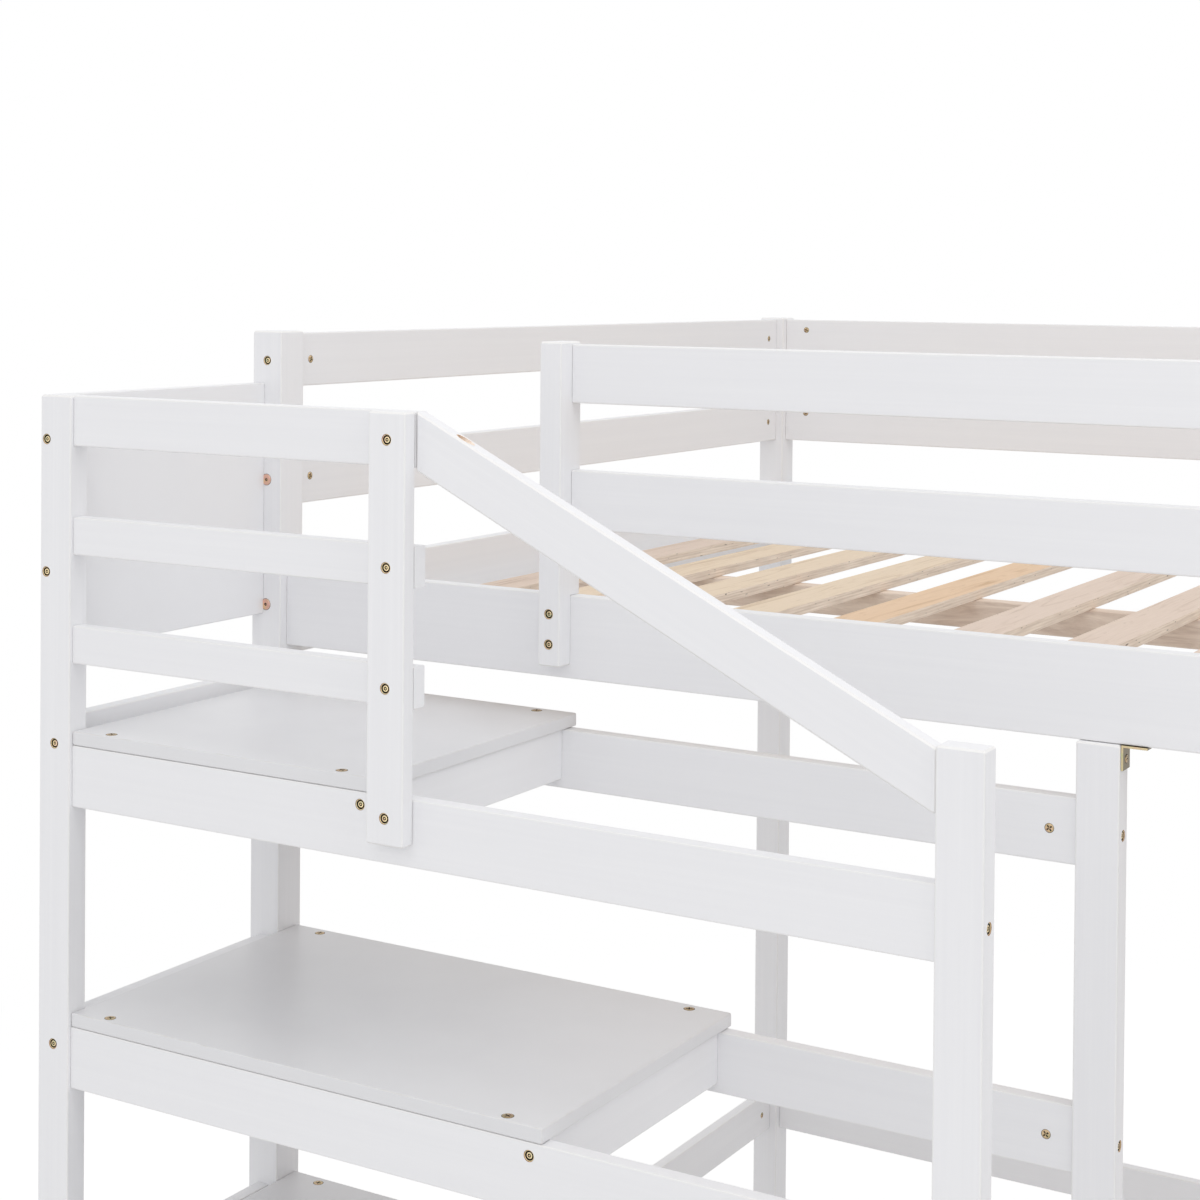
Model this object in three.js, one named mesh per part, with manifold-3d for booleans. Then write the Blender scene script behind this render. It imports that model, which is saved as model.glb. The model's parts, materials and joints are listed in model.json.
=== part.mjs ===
// A loft bed for a full-size mattress, with a flight of shelf steps and a landing along its front.
// Millimetres, +Z up. +X runs along the bed, towards the foot end; +Y runs from the steps to the back.
// The origin is on the floor, under the middle of the whole piece.
import * as THREE from "three";
import { mergeVertices } from "three/addons/utils/BufferGeometryUtils.js";
import Module from "manifold-3d";

const wasm = await Module();
wasm.setup();

// Stock shared by the whole piece
const railThick = 18;
const edgeEase = 2;
const postEase = 2;
const postTopEase = 2;
const seam = 0.3; // hairline left wherever two pieces meet

// Bed frame
const bedLength = 1980;
const bedWidth = 1450;
const postHeight = 1648;
const postSide = 44;
const guardDrop = 3; // top guard rails lie this far under the post tops
const frontGuardDrop = 4; // the front one lies lower still
const guardRailHeight = 66;
const guardRailGap = 79.5;
const guardToSideRail = 75;
const sideRailHeight = 94;
const endRailDrop = 7.5; // under the side rails' top edge
const endRailHeight = 102;
const lowRailClearance = 215; // floor to the low rails
const lowRailHeight = 66;

// Slatted base
const slatDrop = 58.5; // side rail top to the slats' tops
const slatWidth = 60;
const slatThick = 13;
const slatEase = 1;
const slatCount = 14;
const slatEndGap = 39; // corner post to the nearest slat
const slatSideGap = 2; // slat end to side rail
// The slats are laid by hand, so each of these lies a little off the even spacing.
const slatShifts = [0, -7, -17, -22, -19, 2, 6, 16];
const looseSlats = 7; // slats past these are one piece with the centre beam
const slatBond = 1; // how deep a bonded joint reaches into the slat and into the beam
const ledgerThick = 20;
const ledgerHeight = 22;
const beamThick = 27;
const beamHeight = 38;

// Entry gap and the short post beside it
const entryWidth = 376;
const entryPostWide = 28;
const entryPostDeep = 44;
const entryPostLap = 24; // thickness that runs down in front of the side rail
const entryPostReach = 78.5; // below the side rail's top
const entryPostDrop = 4; // under the corner post tops

// Steps
const stairDepth = 361.5;
const stairPostWide = 44;
const stairPostDeep = 27;
const stepCount = 4; // the top one is the landing
const landingDrop = 42.5; // side rail's lower edge to the landing's top
const landingLength = 400;
const treadStep = 199.5;
const lowestTread = 188.5; // how far the lowest board stands out past the next
const boardThick = 15;
const stepRailHeight = 67;
const crossRailHeight = 57;
const crossRailInset = 5.5; // behind the board's free edge
const landingCrossRise = 13.5; // the landing's left cross rail stands above its board
const stepCrossDrop = 8; // the other left cross rails lie below theirs

// Landing guard and handrail
const landingGuardHeight = 362.5; // landing's top to the top of its posts
const landingTopRailHeight = 54.5;
const landingRailHeight = 41;
const landingRailGap = 76.5;
const landingPostGap = 5.5; // board's free edge to the landing post
const landingPostReach = 60; // below the landing's top
const panelHeight = 282;
const newelRise = 103; // foot post above the landing's level
const newelLip = 4; // foot post above the handrail's end
const handrailDepth = 57.5; // measured upright, not across the slope
const handrailToeRadius = 10;
const pocketRadius = 5;
const pocketRun = 52; // landing post to where the pocket opens
const pocketLength = 30;

// Corner bracket between the back foot post and the side rail
const bracketWidth = 22;
const bracketThick = 2.2;
const bracketLeg = 25;
const bracketReach = 26;

// Bolt seats
const boltSeatRadius = 6;
const boltSeatDepth = 3;
const boltRise = 15.5; // lengthwise bolts pass this far over the crosswise ones in a post
const endRailBoltRise = 14;
const sideRailBoltSpread = 25; // each side of the rail's middle
const entryBoltDrops = [19.5, 53.5]; // below the side rail's top
const panelBoltDrops = [48, 192]; // below the panel's top
const crossBoltDrop = 13; // below the step rail's top

// Heights worked out from those
const guardTops = [postHeight - guardDrop, postHeight - guardDrop - guardRailHeight - guardRailGap];
const frontGuardTops = [guardTops[0] - frontGuardDrop, guardTops[1]];
const sideRailTop = guardTops[1] - guardRailHeight - guardToSideRail;
const sideRailBottom = sideRailTop - sideRailHeight;
const endRailTop = sideRailTop - endRailDrop;
const slatTop = sideRailTop - slatDrop;
const slatBottom = slatTop - slatThick;
const landingTop = sideRailBottom - landingDrop;
const riser = landingTop / stepCount;
const landingPostTop = landingTop + landingGuardHeight;

// Places worked out from those, from the bed's front left corner
const railInset = (postSide - railThick) / 2;
const postMiddle = postSide / 2;
const stairLeft = postSide;
const stairRun = landingLength + (stepCount - 2) * treadStep + lowestTread;
const stairRight = stairLeft + stairRun;
const stairFront = -stairDepth;
const stairMiddle = stairFront + stairPostDeep / 2;
const stepRailFront = stairMiddle - railThick / 2;
const stepRailBack = stepRailFront + railThick;
const backFootFront = postMiddle - stairPostDeep / 2;
const backFootBack = backFootFront + stairPostDeep;
const landingPostLeft = stairLeft + landingLength + landingPostGap;
const landingPostRight = landingPostLeft + stairPostWide;
const entryPostLeft = postSide + entryWidth;
const entryPostRight = entryPostLeft + entryPostWide;
const entryPostFront = railInset - entryPostLap;
const pieceFront = stepRailFront - railThick;

const part = new THREE.Group();
const piece = new THREE.Group();
piece.position.set(-bedLength / 2, -(bedWidth + pieceFront) / 2, 0);
part.add(piece);

// Finishes
const whitePaint = () => new THREE.MeshStandardMaterial({ color: 0xe9e9ea, roughness: 0.45, metalness: 0 });
const bareWood = () => new THREE.MeshStandardMaterial({ color: 0xe3cbb0, roughness: 0.7, metalness: 0 });
const zincPlate = () => new THREE.MeshStandardMaterial({ color: 0xc9b27a, roughness: 0.35, metalness: 1 });

// Joining and cutting
function solidOf(geometry) {
  const bare = geometry.clone();
  bare.deleteAttribute("normal");
  bare.deleteAttribute("uv");
  const welded = mergeVertices(bare);
  const vertProperties = welded.attributes.position.array;
  const triVerts = new Uint32Array(welded.index.array);
  return new wasm.Manifold(new wasm.Mesh({ numProp: 3, vertProperties, triVerts }));
}

function geometryOf(solid) {
  const { vertProperties, triVerts } = solid.getMesh();
  const geometry = new THREE.BufferGeometry();
  geometry.setAttribute("position", new THREE.BufferAttribute(vertProperties, 3));
  geometry.setIndex(new THREE.BufferAttribute(triVerts, 1));
  return geometry;
}

function add(name, geometry, material, place) {
  const mesh = new THREE.Mesh(geometry, material);
  mesh.name = name;
  mesh.position.set(...place);
  piece.add(mesh);
}

// A rectangle with rounded corners, from (0, 0) to (wide, high)
function easedOutline(wide, high, ease) {
  const quarter = Math.PI / 2;
  const outline = new THREE.Shape();
  outline.absarc(wide - ease, high - ease, ease, 0, quarter);
  outline.absarc(ease, high - ease, ease, quarter, 2 * quarter);
  outline.absarc(ease, ease, ease, 2 * quarter, 3 * quarter);
  outline.absarc(wide - ease, ease, ease, 3 * quarter, 4 * quarter);
  return outline;
}

// An outline is drawn in the plane across a bar and pushed along +Z; these turn it to lie along an axis.
const turns = {
  x: new THREE.Matrix4().makeBasis(
    new THREE.Vector3(0, 1, 0),
    new THREE.Vector3(0, 0, 1),
    new THREE.Vector3(1, 0, 0),
  ),
  y: new THREE.Matrix4().makeBasis(
    new THREE.Vector3(0, 0, 1),
    new THREE.Vector3(1, 0, 0),
    new THREE.Vector3(0, 1, 0),
  ),
  z: new THREE.Matrix4(),
};

// A bar of the given size along an axis, with its low corner at the origin. Its long edges are rounded,
// and endEase takes the arris off its two ends.
function barGeometry(size, along, ease, endEase = 0) {
  const across = { x: [1, 2], y: [2, 0], z: [0, 1] }[along];
  const length = size["xyz".indexOf(along)];
  const geometry = new THREE.ExtrudeGeometry(easedOutline(size[across[0]], size[across[1]], ease), {
    depth: length - 2 * endEase,
    curveSegments: 1,
    bevelEnabled: endEase > 0,
    bevelThickness: endEase,
    bevelSize: endEase,
    bevelOffset: -endEase,
    bevelSegments: 1,
  });
  geometry.translate(0, 0, endEase);
  return geometry.applyMatrix4(turns[along]);
}

// A round cutter whose middle is at a point, along X or Y
function cutter(radius, length, point, along) {
  const geometry = new THREE.CylinderGeometry(radius, radius, length, 12);
  if (along === "x") geometry.rotateZ(Math.PI / 2);
  geometry.translate(...point);
  return solidOf(geometry);
}

// Bolt seats go into a bar from one of its faces. Each is given by where it is along the other two axes,
// x or y first and then z.
function withBoltSeats(geometry, low, high, seats) {
  let solid = solidOf(geometry);
  for (const { face, at } of seats) {
    const along = face[1];
    const facePlace = (face[0] === "-" ? low : high)["xyz".indexOf(along)];
    const point = along === "x" ? [facePlace, at[0], at[1]] : [at[0], facePlace, at[1]];
    const local = point.map((value, axis) => value - low[axis]);
    solid = solid.subtract(cutter(boltSeatRadius, 2 * boltSeatDepth, local, along));
  }
  return geometryOf(solid);
}

// A bar between two corners
function bar(name, along, low, high, { ease = edgeEase, endEase = 0, material = whitePaint, seats = [] } = {}) {
  const size = high.map((value, axis) => value - low[axis]);
  const plain = barGeometry(size, along, ease, endEase);
  const geometry = seats.length ? withBoltSeats(plain, low, high, seats) : plain;
  add(name, geometry, material(), low);
}

function post(name, low, high, seats) {
  bar(name, "z", low, high, { ease: postEase, endEase: postTopEase, seats });
}

// Middle height of a rail from its top edge
const middle = (top, height) => top - height / 2;

const stepTop = (step) => riser * step;
const stepRailTop = (step) => stepTop(step) - boardThick;
const steps = Array.from({ length: stepCount }, (_, index) => index + 1);
// The lowest board reaches the foot posts; each one above stops a tread sooner.
const boardRight = (step) =>
  step === 1 ? stairRight : stairLeft + landingLength + (stepCount - step) * treadStep;
const crossRailMiddle = (step) => boardRight(step) - crossRailInset - railThick / 2;
const leftCrossTop = (step) =>
  stepTop(step) + (step === stepCount ? landingCrossRise : -stepCrossDrop);
const landingRailTops = [
  landingPostTop,
  landingPostTop - landingTopRailHeight - landingRailGap,
  landingPostTop - landingTopRailHeight - landingRailHeight - 2 * landingRailGap,
];
const landingRailHeights = [landingTopRailHeight, landingRailHeight, landingRailHeight];
const landingRailMiddles = landingRailTops.map((top, index) => middle(top, landingRailHeights[index]));

// Corner posts
function cornerPosts() {
  const crosswise = [
    middle(guardTops[0], guardRailHeight),
    middle(guardTops[1], guardRailHeight),
    middle(endRailTop, endRailHeight) + endRailBoltRise,
    lowRailClearance + lowRailHeight / 2,
  ];
  const guardBolts = (tops) => tops.map((top) => middle(top, guardRailHeight) + boltRise);
  const sideRail = [-1, 1].map((way) => middle(sideRailTop, sideRailHeight) + way * sideRailBoltSpread);
  const lowRail = lowRailClearance + lowRailHeight / 2 + boltRise;
  const stepRails = steps.map((step) => middle(stepRailTop(step), stepRailHeight));
  const back = [...guardBolts(guardTops), ...sideRail, lowRail];
  const corners = [
    { name: "corner_post_front_left", x: 0, y: 0, lengthwise: [...sideRail, ...stepRails] },
    { name: "corner_post_back_left", x: 0, y: 1, lengthwise: back },
    { name: "corner_post_front_right", x: 1, y: 0, lengthwise: [...guardBolts(frontGuardTops), ...sideRail] },
    { name: "corner_post_back_right", x: 1, y: 1, lengthwise: back },
  ];
  for (const { name, x, y, lengthwise } of corners) {
    const left = x * (bedLength - postSide);
    const front = y * (bedWidth - postSide);
    post(
      name,
      [left, front, 0],
      [left + postSide, front + postSide, postHeight],
      [
        ...crosswise.map((height) => ({ face: y ? "+y" : "-y", at: [left + postMiddle, height] })),
        ...lengthwise.map((height) => ({ face: x ? "+x" : "-x", at: [front + postMiddle, height] })),
      ],
    );
  }
}

// A rail along the bed between two places, set back from the front or from the back like all its rails
function lengthwiseRail(name, side, left, right, top, height) {
  const front = side === "front" ? railInset : bedWidth - railInset - railThick;
  bar(name, "x", [left + seam, front, top - height], [right - seam, front + railThick, top]);
}

// A rail across one end of the bed
function endRail(name, end, top, height) {
  const left = end === "left" ? railInset : bedLength - railInset - railThick;
  bar(name, "y", [left, postSide + seam, top - height], [left + railThick, bedWidth - postSide - seam, top]);
}

function bedRails() {
  const right = bedLength - postSide;
  lengthwiseRail("side_rail_front", "front", postSide, right, sideRailTop, sideRailHeight);
  lengthwiseRail("side_rail_back", "back", postSide, right, sideRailTop, sideRailHeight);
  const lowRailTop = lowRailClearance + lowRailHeight;
  lengthwiseRail("low_rail_back", "back", postSide, right, lowRailTop, lowRailHeight);
  for (const [index, level] of ["top", "low"].entries()) {
    const top = guardTops[index];
    const frontTop = frontGuardTops[index];
    lengthwiseRail("guard_rail_back_" + level, "back", postSide, right, top, guardRailHeight);
    lengthwiseRail("guard_rail_front_" + level, "front", entryPostRight, right, frontTop, guardRailHeight);
    endRail("guard_rail_left_" + level, "left", top, guardRailHeight);
    endRail("guard_rail_right_" + level, "right", top, guardRailHeight);
  }
  for (const end of ["left", "right"]) {
    endRail("end_rail_" + end, end, endRailTop, endRailHeight);
    endRail("low_rail_" + end, end, lowRailTop, lowRailHeight);
  }
}

// The entry post is notched over the side rail, and bolted through it.
function entryPost() {
  const low = [entryPostLeft, entryPostFront, sideRailTop - entryPostReach];
  const high = [entryPostRight, entryPostFront + entryPostDeep, postHeight - entryPostDrop];
  const size = high.map((value, axis) => value - low[axis]);
  const seats = [
    ...entryBoltDrops.map((drop) => ({
      face: "-y",
      at: [entryPostLeft + entryPostWide / 2, sideRailTop - drop],
    })),
    ...frontGuardTops.map((top) => ({ face: "-x", at: [postMiddle, middle(top, guardRailHeight)] })),
  ];
  const whole = withBoltSeats(barGeometry(size, "z", postEase, postTopEase), low, high, seats);
  const notchDeep = entryPostDeep - entryPostLap + seam;
  const notchHigh = entryPostReach + seam;
  const notch = new THREE.BoxGeometry(2 * entryPostWide, 2 * notchDeep, 2 * notchHigh);
  notch.translate(entryPostWide / 2, entryPostDeep, 0);
  add("entry_post", geometryOf(solidOf(whole).subtract(solidOf(notch))), whitePaint(), low);
}

// Slats, the ledgers they end on and the beam under their middles
const slatLeft = (index) => {
  const first = postSide + slatEndGap;
  const last = bedLength - postSide - slatEndGap - slatWidth;
  return first + ((last - first) * index) / (slatCount - 1) + (slatShifts[index] ?? 0);
};

function slatGeometry() {
  const inside = bedWidth - 2 * (railInset + railThick + slatSideGap);
  return barGeometry([slatWidth, inside, slatThick], "y", slatEase);
}

function slattedBase() {
  const inner = railInset + railThick;
  const ledgerTop = slatBottom - seam;
  for (const side of ["front", "back"]) {
    const front = side === "front" ? inner + seam : bedWidth - inner - seam - ledgerThick;
    bar(
      "slat_ledger_" + side,
      "x",
      [postSide + seam, front, ledgerTop - ledgerHeight],
      [bedLength - postSide - seam, front + ledgerThick, ledgerTop],
      { material: bareWood },
    );
  }
  const slatFront = inner + slatSideGap;
  for (let index = 0; index < looseSlats; index++) {
    const place = [slatLeft(index), slatFront, slatBottom];
    add("slat_" + (index + 1), slatGeometry(), bareWood(), place);
  }
  beamWithFarSlats(inner, slatFront);
}

function beamWithFarSlats(inner, slatFront) {
  const beamLow = [inner + seam, (bedWidth - beamThick) / 2, slatBottom - seam - beamHeight];
  const beamSize = [bedLength - 2 * (inner + seam), beamThick, beamHeight];
  let solid = solidOf(barGeometry(beamSize, "x", edgeEase));
  for (let index = looseSlats; index < slatCount; index++) {
    const left = slatLeft(index) - beamLow[0];
    const slat = slatGeometry();
    slat.translate(left, slatFront - beamLow[1], slatBottom - beamLow[2]);
    const bond = new THREE.BoxGeometry(
      slatWidth - 2 * slatEase,
      beamThick - 2 * edgeEase,
      seam + 2 * slatBond,
    );
    bond.translate(left + slatWidth / 2, beamThick / 2, beamHeight + seam / 2);
    solid = solid.add(solidOf(slat)).add(solidOf(bond));
  }
  add("slat_beam_and_far_slats", geometryOf(solid), bareWood(), beamLow);
}

// The steps' four posts: two at the foot, one at the head and a short one on the landing's front
function stairPosts() {
  const railMiddles = steps.map((step) => middle(stepRailTop(step), stepRailHeight));
  const newelTop = landingTop + newelRise;
  post(
    "stair_post_head",
    [0, stairFront, 0],
    [stairPostWide, stairFront + stairPostDeep, landingPostTop],
    [
      ...panelBoltDrops.map((drop) => ({ face: "-y", at: [railThick / 2, landingPostTop - drop] })),
      ...steps.map((step) => ({
        face: "-y",
        at: [railInset + railThick / 2, middle(leftCrossTop(step), crossRailHeight)],
      })),
      ...[...railMiddles, ...landingRailMiddles].map((height) => ({ face: "-x", at: [stairMiddle, height] })),
    ],
  );
  post(
    "stair_post_foot_front",
    [stairRight, stairFront, 0],
    [stairRight + stairPostWide, stairFront + stairPostDeep, newelTop],
    railMiddles.map((height) => ({ face: "+x", at: [stairMiddle, height] })),
  );
  post(
    "stair_post_foot_back",
    [stairRight, backFootFront, 0],
    [stairRight + stairPostWide, backFootBack, sideRailBottom - seam],
    railMiddles.map((height) => ({ face: "+x", at: [postMiddle, height] })),
  );
  const landingRailBolt = railMiddles[stepCount - 1] + boltRise;
  post(
    "landing_post",
    [landingPostLeft, pieceFront, landingTop - landingPostReach],
    [landingPostRight, stepRailFront - seam, landingPostTop],
    [...landingRailMiddles, landingRailBolt].map((height) => ({
      face: "-y",
      at: [landingPostLeft + stairPostWide / 2, height],
    })),
  );
}

// Each step is a board on a front rail, a back rail and a cross rail under its free edge. A left cross
// rail ties the head post to the corner post beside it.
function step(number) {
  const top = stepRailTop(number) - seam;
  const left = stairLeft + seam;
  const right = stairRight - seam;
  const boltSeat = (face) => [{ face, at: [crossRailMiddle(number), top - crossBoltDrop] }];
  bar(
    "step_rail_front_" + number,
    "x",
    [left, stepRailFront, top - stepRailHeight],
    [right, stepRailBack, top],
    { seats: boltSeat("-y") },
  );
  bar(
    "step_rail_back_" + number,
    "x",
    [left, railInset, top - stepRailHeight],
    [right, railInset + railThick, top],
    { seats: boltSeat("+y") },
  );
  bar(
    "cross_rail_right_" + number,
    "y",
    [crossRailMiddle(number) - railThick / 2, stepRailBack + seam, top - crossRailHeight],
    [crossRailMiddle(number) + railThick / 2, railInset - seam, top],
  );
  bar(
    "cross_rail_left_" + number,
    "y",
    [railInset, stairFront + stairPostDeep + seam, leftCrossTop(number) - crossRailHeight],
    [railInset + railThick, -seam, leftCrossTop(number)],
  );
  const boardEnd = number === 1 ? right : boardRight(number);
  bar(
    "step_board_" + number,
    "y",
    [left, stepRailFront, stepTop(number) - boardThick],
    [boardEnd, backFootBack, stepTop(number)],
    { endEase: edgeEase / 2 },
  );
}

// Rails across the landing's front and the panel that closes its outer end
function landingGuard() {
  for (const [index, level] of ["top", "middle", "low"].entries()) {
    const top = landingRailTops[index];
    bar(
      "landing_rail_" + level,
      "x",
      [stairLeft + seam, stepRailFront, top - landingRailHeights[index]],
      [landingPostRight, stepRailBack, top],
    );
  }
  bar(
    "landing_side_panel",
    "y",
    [0, stairFront + stairPostDeep + seam, landingPostTop - panelHeight],
    [railThick, -seam, landingPostTop],
  );
}

// The handrail slopes from the landing's top rail to the foot post. Both ends are cut upright, its lower
// end has a rounded toe, and a pocket for the screw at its head opens on its top edge.
function handrail() {
  const left = landingPostRight + seam;
  const run = stairRight - seam - left;
  const fall = landingGuardHeight - newelRise + newelLip;
  const slope = Math.atan2(fall, run);
  const drop = (along) => -along * Math.tan(slope);
  const toeBack = handrailToeRadius * Math.tan((Math.PI / 2 - slope) / 2);
  const toe = new THREE.Vector2(run, drop(run) - handrailDepth);
  const outline = new THREE.Shape();
  outline.moveTo(0, 0);
  outline.lineTo(0, -handrailDepth);
  outline.lineTo(toe.x - toeBack * Math.cos(slope), toe.y + toeBack * Math.sin(slope));
  outline.quadraticCurveTo(toe.x, toe.y, toe.x, toe.y + toeBack);
  outline.lineTo(run, drop(run));
  const plank = new THREE.ExtrudeGeometry(outline, {
    depth: railThick - 2 * edgeEase,
    curveSegments: 4,
    bevelThickness: edgeEase,
    bevelSize: edgeEase,
    bevelOffset: -edgeEase,
    bevelSegments: 1,
  });
  plank.rotateX(Math.PI / 2);
  plank.translate(0, railThick - edgeEase, 0);
  const pocketMiddle = pocketRun + pocketLength / 2;
  const opening = [pocketMiddle, railThick / 2, drop(pocketRun)];
  const pocket = cutter(pocketRadius, 2 * pocketLength, opening, "x");
  const place = [left, stepRailFront, landingPostTop];
  add("handrail", geometryOf(solidOf(plank).subtract(pocket)), whitePaint(), place);
}

// An angle of plate: one leg down the foot post, one along under the side rail
function cornerBracket() {
  const outline = new THREE.Shape();
  outline.moveTo(0, 0);
  outline.lineTo(0, -bracketLeg);
  outline.lineTo(bracketThick, -bracketLeg);
  outline.lineTo(bracketThick, -bracketThick);
  outline.lineTo(bracketReach, -bracketThick);
  outline.lineTo(bracketReach, 0);
  const geometry = new THREE.ExtrudeGeometry(outline, { depth: bracketWidth, bevelEnabled: false });
  geometry.rotateX(Math.PI / 2);
  geometry.translate(0, bracketWidth, 0);
  const place = [stairRight + stairPostWide + seam, postMiddle - bracketWidth / 2, sideRailBottom - seam];
  add("corner_bracket", geometry, zincPlate(), place);
}

cornerPosts();
bedRails();
entryPost();
slattedBase();
stairPosts();
steps.forEach(step);
landingGuard();
handrail();
cornerBracket();

export default part;
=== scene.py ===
# %% [markdown]
# # A white loft bed with shelf steps
# The bed is painted pine: square posts, thin rails, four boards for steps, and bare plywood slats.
# Every wooden piece is already there, with its true size, in the frame that this script loads. What is
# left is what makes the pieces look like themselves: paint, bare wood, plated bolts, light and a camera.

# %% Load the frame
import json
import math

import bmesh
import bpy
from mathutils import Euler, Matrix, Vector


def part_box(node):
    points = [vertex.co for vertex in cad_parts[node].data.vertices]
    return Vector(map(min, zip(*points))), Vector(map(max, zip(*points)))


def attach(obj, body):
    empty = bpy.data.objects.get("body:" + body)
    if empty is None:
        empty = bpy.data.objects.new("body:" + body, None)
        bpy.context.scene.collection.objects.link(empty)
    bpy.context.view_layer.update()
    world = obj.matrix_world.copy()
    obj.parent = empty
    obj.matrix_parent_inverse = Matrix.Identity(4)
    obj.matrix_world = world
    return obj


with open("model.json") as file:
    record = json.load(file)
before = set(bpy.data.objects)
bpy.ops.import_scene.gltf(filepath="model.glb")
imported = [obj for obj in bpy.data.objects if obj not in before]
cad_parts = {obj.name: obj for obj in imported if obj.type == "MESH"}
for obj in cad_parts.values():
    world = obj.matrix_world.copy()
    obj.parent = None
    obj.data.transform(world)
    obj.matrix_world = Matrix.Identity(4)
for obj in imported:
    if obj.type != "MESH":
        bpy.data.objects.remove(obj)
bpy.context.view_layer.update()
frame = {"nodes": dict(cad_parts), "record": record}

nodes = frame["nodes"]
MM = 0.001
print("pieces in the frame:", len(nodes))

# %% [markdown]
# ## Where things are
# Every fastener belongs to a piece of wood, so its place is asked from that piece's box instead of being
# written down again. If a rail moves, its bolts move with it.

# %% Places on the pieces
AXES = {"x": 0, "y": 1, "z": 2}
HAIRLINE = 0.3 * MM  # the gap that the frame leaves between pieces that meet


def low(node, axis):
    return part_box(node)[0][AXES[axis]]


def high(node, axis):
    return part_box(node)[1][AXES[axis]]


def middle(node, axis):
    return (low(node, axis) + high(node, axis)) / 2


def on_face(node, face, first, height):
    """A point on a face such as "-y", given by its place along the other level axis and its height."""
    out = low(node, face[1]) if face[0] == "-" else high(node, face[1])
    return (out, first, height) if face[1] == "x" else (first, out, height)


# %% [markdown]
# ## Mixing a material
# A material is a small machine made of nodes. A tiny helper that adds a node, sets its values and
# connects what feeds it keeps each recipe short enough to read from top to bottom.

# %% Add and connect nodes
class Nodes:
    """A material under construction."""

    def __init__(self, name):
        self.material = bpy.data.materials.new(name)
        self.material.use_nodes = True
        self.tree = self.material.node_tree
        self.shader = self.tree.nodes["Principled BSDF"]

    def add(self, kind, inputs=None, **settings):
        """One node. Each input is a value to set or another node's socket to connect."""
        node = self.tree.nodes.new(kind)
        for key, value in settings.items():
            setattr(node, key, value)
        for key, value in (inputs or {}).items():
            if isinstance(value, bpy.types.NodeSocket):
                self.tree.links.new(value, node.inputs[key])
            else:
                node.inputs[key].default_value = value
        return node

    def maths(self, operation, *values, clamp=False):
        node = self.add("ShaderNodeMath", dict(enumerate(values)), operation=operation, use_clamp=clamp)
        return node.outputs[0]


print("nodes can be added and connected")

# %% [markdown]
# ## The steps of a recipe
# The same few nodes come back in every finish: where a point is, which way it faces, noise, colours laid
# over each other, and the last step, which connects everything to the shader. Each gets a short name.

# %% Name the steps of a recipe
MIX_FIRST_COLOUR, MIX_SECOND_COLOUR, MIX_COLOUR_OUT = 6, 7, 2  # the Mix node's sockets share names


class Recipe(Nodes):
    """The steps that the finishes share."""

    def place(self):
        """Where a point is on its own piece, in metres, so a pattern stays with the piece."""
        return self.add("ShaderNodeTexCoord").outputs["Object"]

    def facing(self):
        """Which way the surface looks, before any smoothing."""
        return self.add("ShaderNodeNewGeometry").outputs["True Normal"]

    def noise(self, vector, scale, detail=3.0, roughness=0.5, distortion=0.0):
        """Soft random values about 0.5. The scale is how many patches there are to a metre."""
        inputs = {"Vector": vector, "Scale": scale}
        inputs |= {"Detail": detail, "Roughness": roughness, "Distortion": distortion}
        return self.add("ShaderNodeTexNoise", inputs).outputs["Fac"]

    def streaks(self, place, rates, detail=3.0, roughness=0.5, distortion=0.0):
        """Noise with its own rate, in patches to a metre, on each axis."""
        stretched = self.add("ShaderNodeMapping", {"Vector": place, "Scale": rates}, vector_type="POINT")
        return self.noise(stretched.outputs[0], 1.0, detail, roughness, distortion)

    def ramp(self, value, stops):
        """A colour for each value, passing smoothly from one stop to the next."""
        node = self.add("ShaderNodeValToRGB", {"Fac": value})
        elements = node.color_ramp.elements
        while len(elements) < len(stops):
            elements.new(0.5)
        for element, (position, colour) in zip(elements, stops):
            element.position = position
            element.color = (*colour, 1)
        return node.outputs["Color"]

    def blend(self, factor, first, second, kind="MIX"):
        """Passes from the first colour to the second. Each is three numbers or another node's colour."""
        first, second = (
            colour if isinstance(colour, bpy.types.NodeSocket) else (*colour, 1)
            for colour in (first, second)
        )
        inputs = {0: factor, MIX_FIRST_COLOUR: first, MIX_SECOND_COLOUR: second}
        node = self.add("ShaderNodeMix", inputs, data_type="RGBA", blend_type=kind)
        return node.outputs[MIX_COLOUR_OUT]

    def spread(self, value, smallest, largest):
        """Takes a 0 to 1 value to a new range."""
        inputs = {"Value": value, "To Min": smallest, "To Max": largest}
        return self.add("ShaderNodeMapRange", inputs).outputs[0]

    def strongest(self, value, threshold, gain):
        """0 up to the threshold, and then a quick rise to 1: for flecks and voids."""
        return self.maths("MULTIPLY", self.maths("SUBTRACT", value, threshold), gain, clamp=True)

    def mixture(self, first, first_share, second, second_share):
        """Two heights added, each with its share."""
        first = self.maths("MULTIPLY", first, first_share)
        second = self.maths("MULTIPLY", second, second_share)
        return self.maths("ADD", first, second)

    def sharpen(self, value, gain):
        """Stretches a 0 to 1 value about its middle, because noise keeps mostly near 0.5."""
        return self.maths("MULTIPLY_ADD", value, gain, 0.5 - gain / 2, clamp=True)

    def finish(self, colour, roughness, height, depth, strength, metal=0.0, gloss=0.5):
        """Connects a colour, a roughness and a fine relief to the shader. This ends the recipe."""
        bump = self.add("ShaderNodeBump", {"Height": height, "Distance": depth, "Strength": strength})
        links = self.tree.links
        links.new(colour, self.shader.inputs["Base Color"])
        links.new(roughness, self.shader.inputs["Roughness"])
        links.new(bump.outputs[0], self.shader.inputs["Normal"])
        self.shader.inputs["Metallic"].default_value = metal
        self.shader.inputs["Specular IOR Level"].default_value = gloss
        return self.material


print("recipe steps:", [name for name in vars(Recipe) if not name.startswith("_")])

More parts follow.
